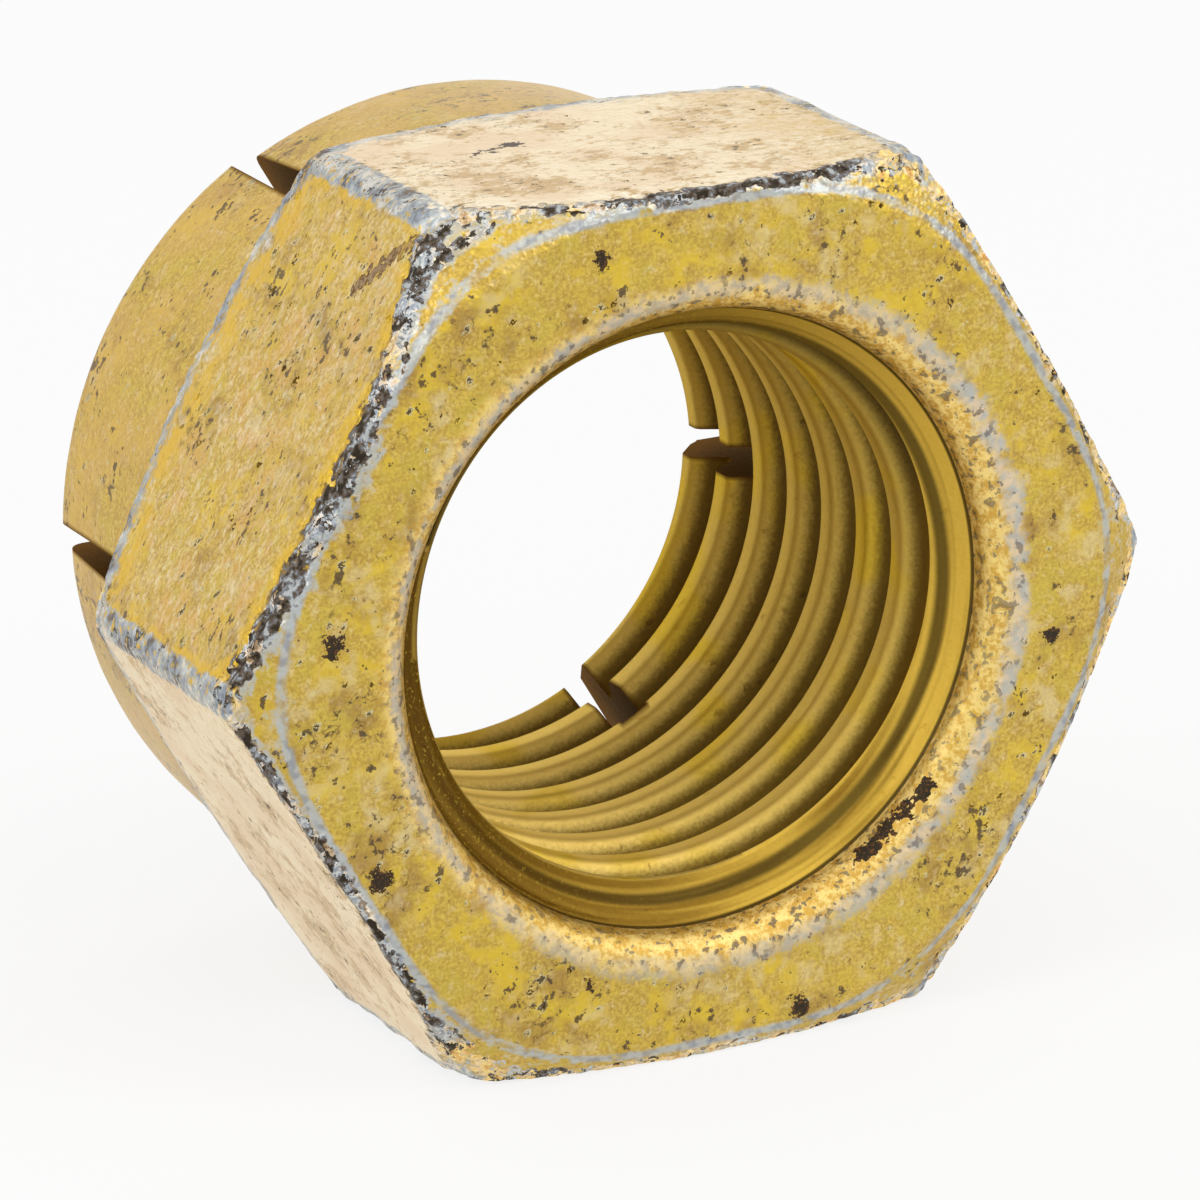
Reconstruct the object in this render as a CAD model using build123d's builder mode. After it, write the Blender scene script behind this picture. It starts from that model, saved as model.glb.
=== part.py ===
from build123d import *
import os
from math import cos, pi, radians, sin, sqrt, tan

# Lock nut of one piece of steel: a hexagon with a round crown, parted by saw cuts into locking beams.
# The thread's axis is Y. The bearing face lies at Y = 0 and faces -Y, and the crown points to +Y.
# The nut lies on the flat that faces -Z. Every size is in millimetres, and every angle in degrees.

# Hexagon
hexagon_sides = 6
across_flats = 15.88
hexagon_height = 6.7
corner_rounding = 0.5
face_inset = 0.05  # from each flat in to the round edge of the bearing face
chamfer_angle = 30.0  # of both corner chamfers, up from the face

# Crown
nut_height = 10.7
crown_inset = 0.24  # from each flat in to the crown's wall
crown_shoulder = 0.05  # flat ledge round the foot of the crown
crown_edge_rounding = 0.3
beam_count = 6
pressed_beam_angles = (90, 210, 330)  # every second beam is pressed in, to grip the bolt
beam_press = 0.2  # how far the free end of a pressed beam is bent towards the axis
slot_width = 0.6
slot_depth = 2.95

# Bore
minor_diameter = 9.9  # over the crests of a thread with 20 turns to the inch on 11.11 mm
countersink_reach = 0.7  # how much wider the countersink is than the bore, on each side
countersink_angle = 90.0
mouth_rounding = 0.57
exit_chamfer = 0.55

# Places that follow from the sizes
bore_radius = minor_diameter / 2
face_radius = across_flats / 2 - face_inset
crown_radius = across_flats / 2 - crown_inset
shoulder_radius = crown_radius + crown_shoulder
corner_reach = across_flats / 2 / cos(pi / hexagon_sides)
slot_floor = nut_height - slot_depth
countersink_radius = bore_radius + countersink_reach
mouth_radius = countersink_radius + mouth_rounding
thread_start = mouth_rounding + countersink_reach / tan(radians(countersink_angle / 2))
beam_angle = 360 / beam_count


def beside_slot(radius, side):
    """Point at a radius where one side of a beam meets its slot. The middle of the beam lies at 0 degrees."""
    along = sqrt(radius**2 - (slot_width / 2) ** 2)
    turn = radians(beam_angle / 2)
    x = along * cos(turn) + slot_width / 2 * sin(turn)
    y = along * sin(turn) - slot_width / 2 * cos(turn)
    return (x, side * y)


def beam_section(height, press):
    """Section of one beam at a height, moved towards the axis as a whole."""
    with BuildSketch(Plane.XZ.offset(-height)) as section:
        with BuildLine(Pos(-press, 0)):
            outer = ThreePointArc(beside_slot(crown_radius, -1), (crown_radius, 0), beside_slot(crown_radius, 1))
            inner = ThreePointArc(beside_slot(bore_radius, -1), (bore_radius, 0), beside_slot(bore_radius, 1))
            Line(outer @ 0, inner @ 0)
            Line(outer @ 1, inner @ 1)
        make_face()
    return section.sketch


def locking_beam(press):
    """Beam round 0 degrees, from its foot at the slot floor to its free end, with that end's edges broken."""
    with BuildPart() as beam:
        loft([beam_section(slot_floor, 0), beam_section(nut_height, press)], ruled=True)
        end_edges = beam.edges().group_by(Axis.Y)[-1].filter_by(GeomType.CIRCLE)
        inner_edge, outer_edge = end_edges.sort_by(SortBy.RADIUS)
        fillet(outer_edge, crown_edge_rounding)
        chamfer(inner_edge, exit_chamfer)
    return beam.part


with BuildPart() as lock_nut:
    # Hexagon bar with rounded corners
    with BuildSketch(Plane.XZ) as hexagon:
        RegularPolygon(across_flats / 2, hexagon_sides, major_radius=False)
        fillet(hexagon.vertices(), corner_rounding)
    extrude(amount=-hexagon_height)

    # Corner chamfers, turned on both ends of the hexagon
    with BuildSketch(Plane.XY):
        with BuildLine():
            face_rise = (corner_reach - face_radius) * tan(radians(chamfer_angle))
            back_fall = (corner_reach - shoulder_radius) * tan(radians(chamfer_angle))
            Polyline(
                (0, 0),
                (face_radius, 0),
                (corner_reach, face_rise),
                (corner_reach, hexagon_height - back_fall),
                (shoulder_radius, hexagon_height),
                (0, hexagon_height),
                close=True,
            )
        make_face()
    revolve(axis=Axis.Y, mode=Mode.INTERSECT)

    # Solid foot of the crown, up to the slot floor
    with BuildSketch(Plane.XZ):
        Circle(crown_radius)
    extrude(amount=-slot_floor)

    # Bore with its rounded mouth and countersink, up to the slot floor
    with BuildSketch(Plane.XY):
        with BuildLine():
            lip = RadiusArc(
                (mouth_radius, 0),
                (countersink_radius, mouth_rounding),
                mouth_rounding,
            )
            Polyline(
                lip @ 1,
                (bore_radius, thread_start),
                (bore_radius, slot_floor),
                (0, slot_floor),
                (0, 0),
                lip @ 0,
            )
        make_face()
    revolve(axis=Axis.Y, mode=Mode.SUBTRACT)

    # Saw cuts right across the nut, which can reach into the hexagon
    with BuildSketch(Plane.XZ.offset(-slot_floor)):
        with PolarLocations(0, beam_count // 2, angular_range=180):
            Rectangle(2 * corner_reach, slot_width)
    extrude(amount=-slot_depth, mode=Mode.SUBTRACT)

    # Ring of beams between the cuts, turned from the middle of one beam to the next
    pressed_beam = locking_beam(beam_press)
    straight_beam = locking_beam(0)
    for turn in range(beam_count):
        middle = (turn + 0.5) * beam_angle
        beam = pressed_beam if middle in pressed_beam_angles else straight_beam
        add(beam.rotate(Axis.Y, -middle))

lock_nut.part.label = "lock_nut"

os.makedirs("parts", exist_ok=True)
export_step(lock_nut.part, "parts/lock_nut.step")
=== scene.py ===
from math import cos, pi, radians, sin, tan

import bmesh
import bpy
import numpy as np
from mathutils import Matrix, Vector, noise


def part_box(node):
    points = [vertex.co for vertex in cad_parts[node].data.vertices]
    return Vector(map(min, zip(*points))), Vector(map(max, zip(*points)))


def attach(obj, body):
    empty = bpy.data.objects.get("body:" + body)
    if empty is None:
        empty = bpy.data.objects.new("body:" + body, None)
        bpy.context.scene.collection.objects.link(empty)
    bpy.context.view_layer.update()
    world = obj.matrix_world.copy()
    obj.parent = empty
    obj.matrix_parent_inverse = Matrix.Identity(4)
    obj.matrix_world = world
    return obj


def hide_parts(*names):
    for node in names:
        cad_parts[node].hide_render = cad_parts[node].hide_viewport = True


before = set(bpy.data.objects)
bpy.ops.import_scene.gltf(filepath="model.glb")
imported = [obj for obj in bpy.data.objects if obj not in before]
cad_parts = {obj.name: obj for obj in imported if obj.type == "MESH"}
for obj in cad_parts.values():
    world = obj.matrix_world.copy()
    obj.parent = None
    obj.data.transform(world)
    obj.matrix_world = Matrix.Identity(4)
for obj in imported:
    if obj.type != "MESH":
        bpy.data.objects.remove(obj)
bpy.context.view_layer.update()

MM = 0.001
NODE = "lock_nut"

# Sizes read from the frame, in metres. The thread's axis is Y, and the nut lies on the flat that faces -Z.
box_low, box_high = (Vector(corner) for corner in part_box(NODE))
ACROSS_FLATS = box_high.z - box_low.z
NUT_HEIGHT = box_high.y - box_low.y
FLOOR_HEIGHT = box_low.z

# Sizes of the nut that its box doesn't give
HALF_FLATS = ACROSS_FLATS / 2
HEXAGON_HEIGHT = 6.7 * MM
CORNER_ROUNDING = 0.5 * MM
FACE_RADIUS = HALF_FLATS - 0.05 * MM
CHAMFER_SLOPE = tan(radians(30))
CROWN_RADIUS = HALF_FLATS - 0.24 * MM
SHOULDER_RADIUS = CROWN_RADIUS + 0.05 * MM
CROWN_EDGE_ROUNDING = 0.3 * MM
BEAM_PRESS = 0.2 * MM
PRESSED_BEAMS = (90, 210, 330)  # degrees
BEAM_COUNT = 6
BEAM_ANGLE = radians(60)
SLOT_WIDTH = 0.6 * MM
SLOT_DEPTH = 2.95 * MM
SLOT_FLOOR = NUT_HEIGHT - SLOT_DEPTH
BORE_RADIUS = 4.95 * MM
COUNTERSINK_RADIUS = BORE_RADIUS + 0.7 * MM
MOUTH_ROUNDING = 0.57 * MM
MOUTH_RADIUS = COUNTERSINK_RADIUS + MOUTH_ROUNDING
THREAD_START = MOUTH_ROUNDING + 0.7 * MM
EXIT_CHAMFER = 0.55 * MM

# Thread, right-handed. Pitch and phase are those measured on the photograph.
PITCH = 1.32 * MM
THREAD_PHASE = 0.14
ROOT_RADIUS = 5.57 * MM
FLANK_SLOPE = tan(radians(30))
ROOT_FLAT = PITCH / 8
CREST_ROUNDING = 0.07 * MM
ROUNDED_DEPTH = 0.12  # share of the groove's depth

# Cutters: how far the tap's body stays inside the bore, and how far the saw reaches out and up
TAP_CLEARANCE = 0.35 * MM
SAW_REACH, SAW_OVERRUN = 12 * MM, 2 * MM

# Wear of the front chamfer at each corner: angle in degrees, how much higher its edge lies in millimetres
CORNER_WEAR = ((0, -0.15), (60, -0.2), (120, 0.36), (180, -0.22), (240, 0.0), (300, -0.1))
CORNER_WEAR_REACH = 11.0  # degrees

# Wear of the front edge all the way round: angle, width of the worn band in millimetres, share of dark scale
FRONT_WEAR = (
    (0, 0.4, 0.15), (12, 0.2, 0.3), (30, 0.14, 0.4), (45, 0.16, 0.35), (54, 0.3, 0.2), (60, 0.6, 0.12),
    (64, 0.45, 0.3), (67, 0.26, 0.8), (71, 0.26, 0.95), (76, 0.26, 0.9), (82, 0.18, 0.6), (88, 0.2, 0.7),
    (95, 0.24, 0.9), (102, 0.22, 0.8), (106, 0.2, 0.45), (112, 0.26, 0.48), (118, 0.38, 0.52),
    (121, 0.4, 0.55), (124, 0.36, 0.62), (128, 0.34, 0.75), (131, 0.3, 0.6), (136, 0.3, 0.4),
    (139, 0.3, 0.75), (145, 0.34, 0.6), (150, 0.4, 0.95), (155, 0.4, 0.95), (158, 0.34, 0.6),
    (161, 0.3, 0.5), (165, 0.38, 0.9), (169, 0.36, 0.8), (172, 0.34, 0.7), (176, 0.38, 0.8),
    (180, 0.36, 0.4), (184, 0.26, 0.6), (192, 0.22, 0.55), (200, 0.26, 0.55), (210, 0.2, 0.65),
    (220, 0.22, 0.65), (228, 0.26, 0.6), (232, 0.34, 0.65), (237, 0.6, 0.3), (240, 0.75, 0.15),
    (245, 0.4, 0.2), (252, 0.2, 0.35), (270, 0.14, 0.45), (285, 0.14, 0.45), (295, 0.3, 0.25),
    (300, 0.45, 0.2), (308, 0.2, 0.35), (330, 0.14, 0.4), (348, 0.2, 0.3), (360, 0.4, 0.15),
)

# Worn bands along the back edge and the upright corners: reach, share of dark scale
BACK_BAND, BACK_DARKNESS = 0.55 * MM, 0.1
CORNER_BAND, CORNER_DARKNESS = 0.13 * MM, 0.2

# Depth of the worn front edge as a share of the band's width: plain, and with lumps, of which some are left
# where there is no dark scale. It reaches a length and a share of the band's width
PLAIN_WEAR, LUMPY_WEAR, LEAST_LUMPS = 0.12, 0.45, 0.15
FRONT_REACH, FRONT_SPREAD = 0.3 * MM, 0.2

# Reach and depth in millimetres: worn back edge, plain and with lumps, and dents in the upright corners
BACK_REACH, BACK_CUT, BACK_LUMPS = 0.16 * MM, 0.02, 0.05
DENT_REACH, DENT_DEPTH = 0.3 * MM, 0.06

# Waves of the forged surface: height in millimetres, waves per millimetre
WAVES = ((0.016, 0.55), (0.007, 1.7))

# Lumps of the worn edges: share, lumps per millimetre
LUMPS = ((0.6, 1.5), (0.4, 3.7))
LUMP_SHARPNESS = 2.2

# Direction in which an edge is worn off, 30 degrees from the radius: inwards, and along the axis
WEAR_INWARD, WEAR_ALONG = 0.866, 0.5

# Mouth: angle, share of worn bare zinc round it, share of cream on its lip, partly a painted highlight, share
# of painted shade on its rim
MOUTH_WEAR_AND_PAINTED_LIGHT = (
    (0, 0.8, 0.8, 0), (30, 0.9, 0.9, 0), (60, 0.6, 0.9, 0.2), (85, 0.6, 0.9, 0.5), (110, 0.8, 0.8, 0.8),
    (140, 0.8, 0.85, 0.95), (180, 0.75, 0.8, 0.95), (220, 0.6, 0.7, 0.7), (250, 0.5, 0.8, 0.2),
    (280, 0.6, 1.0, 0), (305, 0.75, 0.9, 0), (330, 0.8, 0.7, 0), (360, 0.8, 0.8, 0),
)

# Amber strip of thick film behind the countersink: middle and half length in degrees below +X, then depth and
# half width
AMBER_ANGLE, AMBER_REACH = 40, 50
AMBER_DEPTH, AMBER_WIDTH = 0.28 * MM, 0.16 * MM

# Painted light on the thread, lighter where light falls in through the mouth: middle and half length in
# degrees below +X
LIT_ANGLE, LIT_REACH = 130, 75
# The countersink's lighter half is painted light, and its other side painted shade.
CONE_LIT_ANGLE = radians(30)  # middle of the lighter half of the countersink, above +X

# Patches wider than a millimetre: share, patches per millimetre, and what sets the channels' noises apart
WIDE_PATCHES = (0.5, 0.7, Vector((0, 31, 0)))
NARROW_PATCHES = (0.22, 1.6, Vector((17, 0, 0)))

# How far the film of each flat has faded and is painted pale as a reflection: angle of the flat's middle in
# degrees, share of cream at both ends
FADED_AND_SHEEN_FLATS = (
    (30, 0.1, 0.3), (90, 0.34, 1.0), (150, 0.12, 0.1), (210, 0.5, 0.95), (270, 0.4, 0.2), (330, 0.2, 0.1),
)

# Clusters of dark specks on the face: place in millimetres, reach
FACE_MARKS = (
    ((-7.13, 0, 0.91), 0.34), ((-1.94, 0, 6.99), 0.26), ((-6.42, 0, -3.48), 0.3), ((6.89, 0, -1.26), 0.2),
    ((-2.42, 0, -6.17), 0.14), ((4.89, 0, 5.25), 0.16), ((1.75, 0, -7.34), 0.3),
)

# Streaks of dirt elsewhere: both ends in millimetres, reach
DIRT_STREAKS = (
    ((4.43, 0.16, -3.77), (3.17, 0.26, -4.79), 0.26), ((-2.3, 4.1, 7.94), (-1.4, 4.36, 7.94), 0.18),
)

# Branches of the worn bands: both ends in millimetres, half width, share of dark scale
BRANCHES = (
    ((-4.74, 0.64, 7.17), (-3.76, 0.60, 7.68), 0.15, 0.5),
)

# Long scar on the left flat: both ends in millimetres, half width
SCAR = ((-5.5, 2.35, 6.37), (-4.93, 1.33, 7.34), 0.16)

# Pale line round the face: its radius at the middle of the flats and how much wider it is at the corners
LINE_RADIUS = 7.68 * MM
LINE_BULGE = 0.45 * MM

# Noises of the plating: features per millimetre, detail, roughness
GRAIN = (15.0, 1.0, 0.7)
FOLDS = (4.6, 1.0, 0.7)
CLOUDS = (1.6, 2.0, 0.62)
TOOL_MARKS = (6.0, 1.0, 0.6)
RELIEF = (7.0, 1.0, 0.8)
PITS_PER_MM = 3.6
RELIEF_DEPTH = 0.03 * MM

# Columns of the mesh: fine along the worn front edge, coarse on the crown
FINE, MIDDLE, COARSE = 960, 480, 240
THREAD_COLUMNS = 240
SHARP_ANGLE = radians(50)  # a sharper edge isn't shaded as a curve

# Shifts the noises of the mesh off the nut's own origin
RANDOM_OFFSET = Vector((3.7, 1.9, 5.3))

# Stands for a distance beyond every worn band and ring
FAR = 9.0


def hexagon_radius(theta):
    """Distance of the rounded hexagon's wall from the axis. Its corners lie at 0, 60, 120 degrees and on."""
    side = radians(60)
    from_flat = np.abs((theta % side) - side / 2)
    flat = HALF_FLATS / np.cos(from_flat)
    centre = (HALF_FLATS - CORNER_ROUNDING) / cos(side / 2)
    from_corner = side / 2 - from_flat
    inside = np.maximum(CORNER_ROUNDING**2 - (centre * np.sin(from_corner)) ** 2, 0)
    corner = centre * np.cos(from_corner) + np.sqrt(inside)
    on_corner = HALF_FLATS * np.tan(from_flat) > (HALF_FLATS - CORNER_ROUNDING) * tan(side / 2)
    return np.where(on_corner, corner, flat)


def front_edge(theta):
    """Height of the front chamfer's edge on the wall, with each corner's own wear."""
    height = (hexagon_radius(theta) - FACE_RADIUS) * CHAMFER_SLOPE
    for corner, extra in CORNER_WEAR:
        away = (np.degrees(theta) - corner + 180) % 360 - 180
        height = height + extra * MM * np.exp(-((away / CORNER_WEAR_REACH) ** 2))
    return height


def back_edge(theta):
    """Height of the back chamfer's edge on the wall."""
    return HEXAGON_HEIGHT - (hexagon_radius(theta) - SHOULDER_RADIUS) * CHAMFER_SLOPE


def corner_distance(theta):
    """Distance along the wall from the rounding of the nearest upright corner."""
    side = radians(60)
    from_flat = np.abs((theta % side) - side / 2)
    return np.maximum((HALF_FLATS - CORNER_ROUNDING) * tan(side / 2) - HALF_FLATS * np.tan(from_flat), 0)


def front_wear(theta):
    """Width of the worn band along the front edge, and its share of dark scale, at each angle."""
    table = np.array(FRONT_WEAR)
    at = np.degrees(theta) % 360
    return np.interp(at, table[:, 0], table[:, 1]) * MM, np.interp(at, table[:, 0], table[:, 2])


def angles(columns):
    return np.arange(columns) * 2 * pi / columns


def even(count):
    return np.arange(count) / count


def crowded(count, ends):
    """Fractions below 1 that crowd towards the start for -1, the end for 1 and both ends for 0."""
    step = even(count)
    if ends < 0:
        return step**1.7
    if ends > 0:
        return 1 - (1 - step) ** 1.7
    return 0.5 - 0.5 * np.cos(pi * step)


def line_rows(columns, start, end, fractions):
    """Rows on a straight line of the profile. Its ends are a radius and a height, each one number or many."""
    rows = []
    for f in fractions:
        radius = start[0] * (1 - f) + end[0] * f + np.zeros(columns)
        height = start[1] * (1 - f) + end[1] * f + np.zeros(columns)
        rows.append((radius, height))
    return rows


def arc_rows(columns, centre, radius, first, last, count):
    """Rows on an arc of the profile, between two angles in degrees."""
    rows = []
    for turn in np.radians(first + (last - first) * np.arange(count) / count):
        place = (centre[0] + radius * cos(turn), centre[1] + radius * sin(turn))
        rows.append(tuple(np.full(columns, value) for value in place))
    return rows


def blank_rows():
    """Closed profile of the nut before its thread and slots are cut: rows of radius and height per column."""
    fine_wall, fine_front, fine_back = (f(angles(FINE)) for f in (hexagon_radius, front_edge, back_edge))
    wall, front, back = (f(angles(MIDDLE)) for f in (hexagon_radius, front_edge, back_edge))
    face_band = FACE_RADIUS - 0.3 * MM
    near_edge = np.array([0, 0.03, 0.06, 0.1, 0.14, 0.19, 0.25, 0.32, 0.4, 0.5, 0.62, 0.76, 0.92, 1.1]) * MM
    reach = 1.3 * MM
    lip_centre = (MOUTH_RADIUS, MOUTH_ROUNDING)
    crown_centre = (CROWN_RADIUS - CROWN_EDGE_ROUNDING, NUT_HEIGHT - CROWN_EDGE_ROUNDING)
    exit_radius = BORE_RADIUS + EXIT_CHAMFER
    rows = line_rows(MIDDLE, (BORE_RADIUS, THREAD_START), (COUNTERSINK_RADIUS, MOUTH_ROUNDING), crowded(7, 0))
    rows += arc_rows(MIDDLE, lip_centre, MOUTH_ROUNDING, 180, 270, 8)
    rows += line_rows(MIDDLE, (MOUTH_RADIUS, 0), (face_band, 0), even(12))
    rows += line_rows(FINE, (face_band, 0), (FACE_RADIUS, 0), even(5))
    rows += line_rows(FINE, (FACE_RADIUS, 0), (fine_wall, fine_front), crowded(12, 1))
    for distance in near_edge:
        rows.append((fine_wall, fine_front + distance))
    rows += line_rows(MIDDLE, (wall, front + reach), (wall, back), crowded(17, 1))
    rows += line_rows(MIDDLE, (wall, back), (SHOULDER_RADIUS, HEXAGON_HEIGHT), crowded(6, -1))
    rows += line_rows(COARSE, (SHOULDER_RADIUS, HEXAGON_HEIGHT), (CROWN_RADIUS, HEXAGON_HEIGHT), [0])
    rows += line_rows(COARSE, (CROWN_RADIUS, HEXAGON_HEIGHT), (CROWN_RADIUS, crown_centre[1]), even(9))
    rows += arc_rows(COARSE, crown_centre, CROWN_EDGE_ROUNDING, 0, 90, 5)
    rows += line_rows(COARSE, (crown_centre[0], NUT_HEIGHT), (exit_radius, NUT_HEIGHT), even(5))
    rows += line_rows(COARSE, (exit_radius, NUT_HEIGHT), (BORE_RADIUS, NUT_HEIGHT - EXIT_CHAMFER), even(3))
    rows += line_rows(COARSE, (BORE_RADIUS, NUT_HEIGHT - EXIT_CHAMFER), (BORE_RADIUS, THREAD_START), even(4))
    return rows


def join_rows(first, last, first_start, last_start):
    """Faces between two neighbouring rows, of the same number of columns or of twice or half as many."""
    if len(first) == len(last):
        count = len(first)
        for j in range(count):
            k = (j + 1) % count
            yield (first_start + j, first_start + k, last_start + k, last_start + j)
        return
    wide, narrow = (first_start, last_start) if len(first) < len(last) else (last_start, first_start)
    count = min(len(first), len(last))
    for j in range(count):
        here, following = wide + j, wide + (j + 1) % count
        left, middle, right = narrow + 2 * j, narrow + 2 * j + 1, narrow + (2 * j + 2) % (2 * count)
        for face in ((here, middle, left), (here, following, middle), (following, right, middle)):
            yield face if len(first) < len(last) else face[::-1]


def polar(radius, height, theta):
    """Points from a radius, a height along the axis and an angle from +X towards +Z."""
    return np.stack([radius * np.cos(theta), height, radius * np.sin(theta)], axis=-1)


def new_object(name, points, faces):
    """Mesh object with outward normals."""
    mesh = bpy.data.meshes.new(name)
    mesh.from_pydata(np.asarray(points).reshape(-1, 3).tolist(), [], faces)
    work = bmesh.new()
    work.from_mesh(mesh)
    bmesh.ops.recalc_face_normals(work, faces=work.faces)
    work.to_mesh(mesh)
    work.free()
    made = bpy.data.objects.new(name, mesh)
    bpy.context.scene.collection.objects.link(made)
    return made


def ridge(place, scale):
    """Sharp-edged noise from 0 to 1."""
    return 1 - min(1, LUMP_SHARPNESS * abs(noise.noise(place * scale)))


class Places:
    """Where each point lies on the nut before its beams are pressed. The turn is in degrees."""

    def __init__(self, points):
        self.points = points
        self.radius = np.hypot(points[:, 0], points[:, 2])
        self.y = points[:, 1]
        self.theta = np.arctan2(points[:, 2], points[:, 0])
        self.turn = np.degrees(self.theta) % 360
        self.wall = hexagon_radius(self.theta)
        self.front = front_edge(self.theta)
        self.back = back_edge(self.theta)
        self.to_front = np.hypot(self.wall - self.radius, self.y - self.front)
        self.to_back = np.hypot(self.wall - self.radius, self.y - self.back)
        self.to_corner = corner_distance(self.theta)
        self.band_width, self.darkness = front_wear(self.theta)


def edge_wear(at, k, lump):
    """How deep the front and the back edge are worn off at one point."""
    reach = FRONT_REACH + FRONT_SPREAD * at.band_width[k]
    near_front = np.exp(-((at.to_front[k] / reach) ** 2))
    lumpy = LUMPY_WEAR * lump * (LEAST_LUMPS + (1 - LEAST_LUMPS) * at.darkness[k])
    near_back = np.exp(-((at.to_back[k] / BACK_REACH) ** 2))
    front_cut = near_front * at.band_width[k] * (PLAIN_WEAR + lumpy)
    return front_cut + near_back * MM * (BACK_CUT + BACK_LUMPS * lump)


def worn(points):
    """Moves the blank's points: worn edges and corners, chips, and the slight waves of a forged surface."""
    at = Places(points)
    hexagon = (at.radius > FACE_RADIUS - 0.7 * MM) & (at.y < HEXAGON_HEIGHT - 0.01 * MM)
    flat = hexagon & (at.front < at.y) & (at.y < at.back)
    face = ~hexagon & (at.radius > MOUTH_RADIUS) & (at.y < 0.01 * MM)
    crown = ~hexagon & ~face & (at.radius > CROWN_RADIUS - 0.1 * MM) & (at.y > HEXAGON_HEIGHT)
    moved = points.copy()
    for k in range(len(points)):
        place = Vector(points[k]) * 1000 + RANDOM_OFFSET
        outward = Vector((cos(at.theta[k]), 0, sin(at.theta[k])))
        wave = sum(height * noise.noise(place * scale) for height, scale in WAVES)
        lump = sum(share * ridge(place, scale) for share, scale in LUMPS)
        if flat[k]:
            dent = np.exp(-((at.to_corner[k] / DENT_REACH) ** 2)) * DENT_DEPTH * MM * lump
            moved[k] -= np.array(outward) * dent
        if flat[k] or crown[k]:
            moved[k] += np.array(outward) * wave * MM
        elif hexagon[k] or face[k]:
            moved[k, 1] += wave * MM
        if hexagon[k]:
            along = WEAR_ALONG if at.to_front[k] < at.to_back[k] else -WEAR_ALONG
            moved[k] += np.array(Vector((0, along, 0)) - WEAR_INWARD * outward) * edge_wear(at, k, lump)
    return moved


def make_blank():
    """Nut with its worn edges, before the thread and the slots are cut."""
    rows = blank_rows()
    points = np.concatenate([polar(radius, height, angles(len(radius))) for radius, height in rows])
    starts = np.concatenate([[0], np.cumsum([len(radius) for radius, _ in rows])]).tolist()
    faces = []
    for i, (radius, _) in enumerate(rows):
        following = (i + 1) % len(rows)
        faces += join_rows(radius, rows[following][0], starts[i], starts[following])
    return new_object("nut_blank", worn(points), faces)


def make_tap():
    """Screw-shaped cutter, whose rib cuts the thread's groove with rounded crests beside it."""
    depth = np.array([-0.05, 0.0, 0.04, 0.12, 0.35, 0.6, 0.85, 0.96, 1.0])
    radii = BORE_RADIUS + depth * (ROOT_RADIUS - BORE_RADIUS)
    flank = ROOT_FLAT / 2 + (ROOT_RADIUS - radii) * FLANK_SLOPE
    flank += CREST_ROUNDING * np.clip(1 - depth / ROUNDED_DEPTH, 0, None) ** 2
    flank[-1] = PITCH * 0.02
    along = np.concatenate([[-PITCH / 2], -flank, flank[::-1]])
    radial = np.concatenate([[BORE_RADIUS - TAP_CLEARANCE], radii, radii[::-1]])
    steps = len(along)

    turns_before = 2
    count = int((NUT_HEIGHT / PITCH + 2 * turns_before) * THREAD_COLUMNS)
    turn = np.arange(count + 1) / THREAD_COLUMNS
    theta = -turn * 2 * pi
    rise = (turn - turns_before + THREAD_PHASE) * PITCH
    points = polar(radial[None, :], rise[:, None] + along[None, :], theta[:, None] + np.zeros((1, steps)))
    points = points.reshape(-1, 3)

    def corner(column, step):
        """Index of a profile step; the one after a column's last step is its first one, a turn later."""
        return column * steps + step if step < steps else (column + THREAD_COLUMNS) * steps

    last_column = count - THREAD_COLUMNS
    faces = []
    for column in range(last_column):
        for step in range(steps):
            here = (corner(column, step), corner(column, step + 1))
            faces.append((*here, corner(column + 1, step + 1), corner(column + 1, step)))

    # A fan from the axis closes each end
    middles = np.array([[0, rise[0], 0], [0, rise[last_column] + PITCH, 0]])
    for middle, column in ((len(points), 0), (len(points) + 1, last_column)):
        loop = [corner(column + c, 0) for c in range(THREAD_COLUMNS + 1)]
        loop += [corner(column, s) for s in range(steps - 1, 0, -1)]
        faces += [(middle, start, loop[(k + 1) % len(loop)]) for k, start in enumerate(loop)]
    return new_object("thread_cutter", np.concatenate([points, middles]), faces)


def make_saw():
    """Star-shaped cutter for the slots, all the way across the crown."""
    outline = []
    for k in range(BEAM_COUNT):
        a = k * BEAM_ANGLE
        for half in (-SLOT_WIDTH / 2, SLOT_WIDTH / 2):
            outline.append((SAW_REACH * cos(a) - half * sin(a), SAW_REACH * sin(a) + half * cos(a)))
        between = a + BEAM_ANGLE / 2
        outline.append((SLOT_WIDTH * cos(between), SLOT_WIDTH * sin(between)))
    count = len(outline)
    points = [(x, y, z) for y in (SLOT_FLOOR, NUT_HEIGHT + SAW_OVERRUN) for x, z in outline]
    faces = [list(range(count)), list(range(2 * count - 1, count - 1, -1))]
    faces += [(k, (k + 1) % count, count + (k + 1) % count, count + k) for k in range(count)]
    return new_object("slot_cutter", points, faces)


def cut(blank, cutters):
    """Mesh of the blank with the cutters taken away. The helpers are removed."""
    for cutter in cutters:
        modifier = blank.modifiers.new(cutter.name, "BOOLEAN")
        modifier.operation = "DIFFERENCE"
        modifier.solver = "EXACT"
        modifier.object = cutter
    evaluated = blank.evaluated_get(bpy.context.evaluated_depsgraph_get())
    mesh = bpy.data.meshes.new_from_object(evaluated)
    for helper in [blank, *cutters]:
        bpy.data.objects.remove(helper)
    return mesh


def read_points(mesh):
    points = np.empty(len(mesh.vertices) * 3)
    mesh.vertices.foreach_get("co", points)
    return points.reshape(-1, 3)


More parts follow.
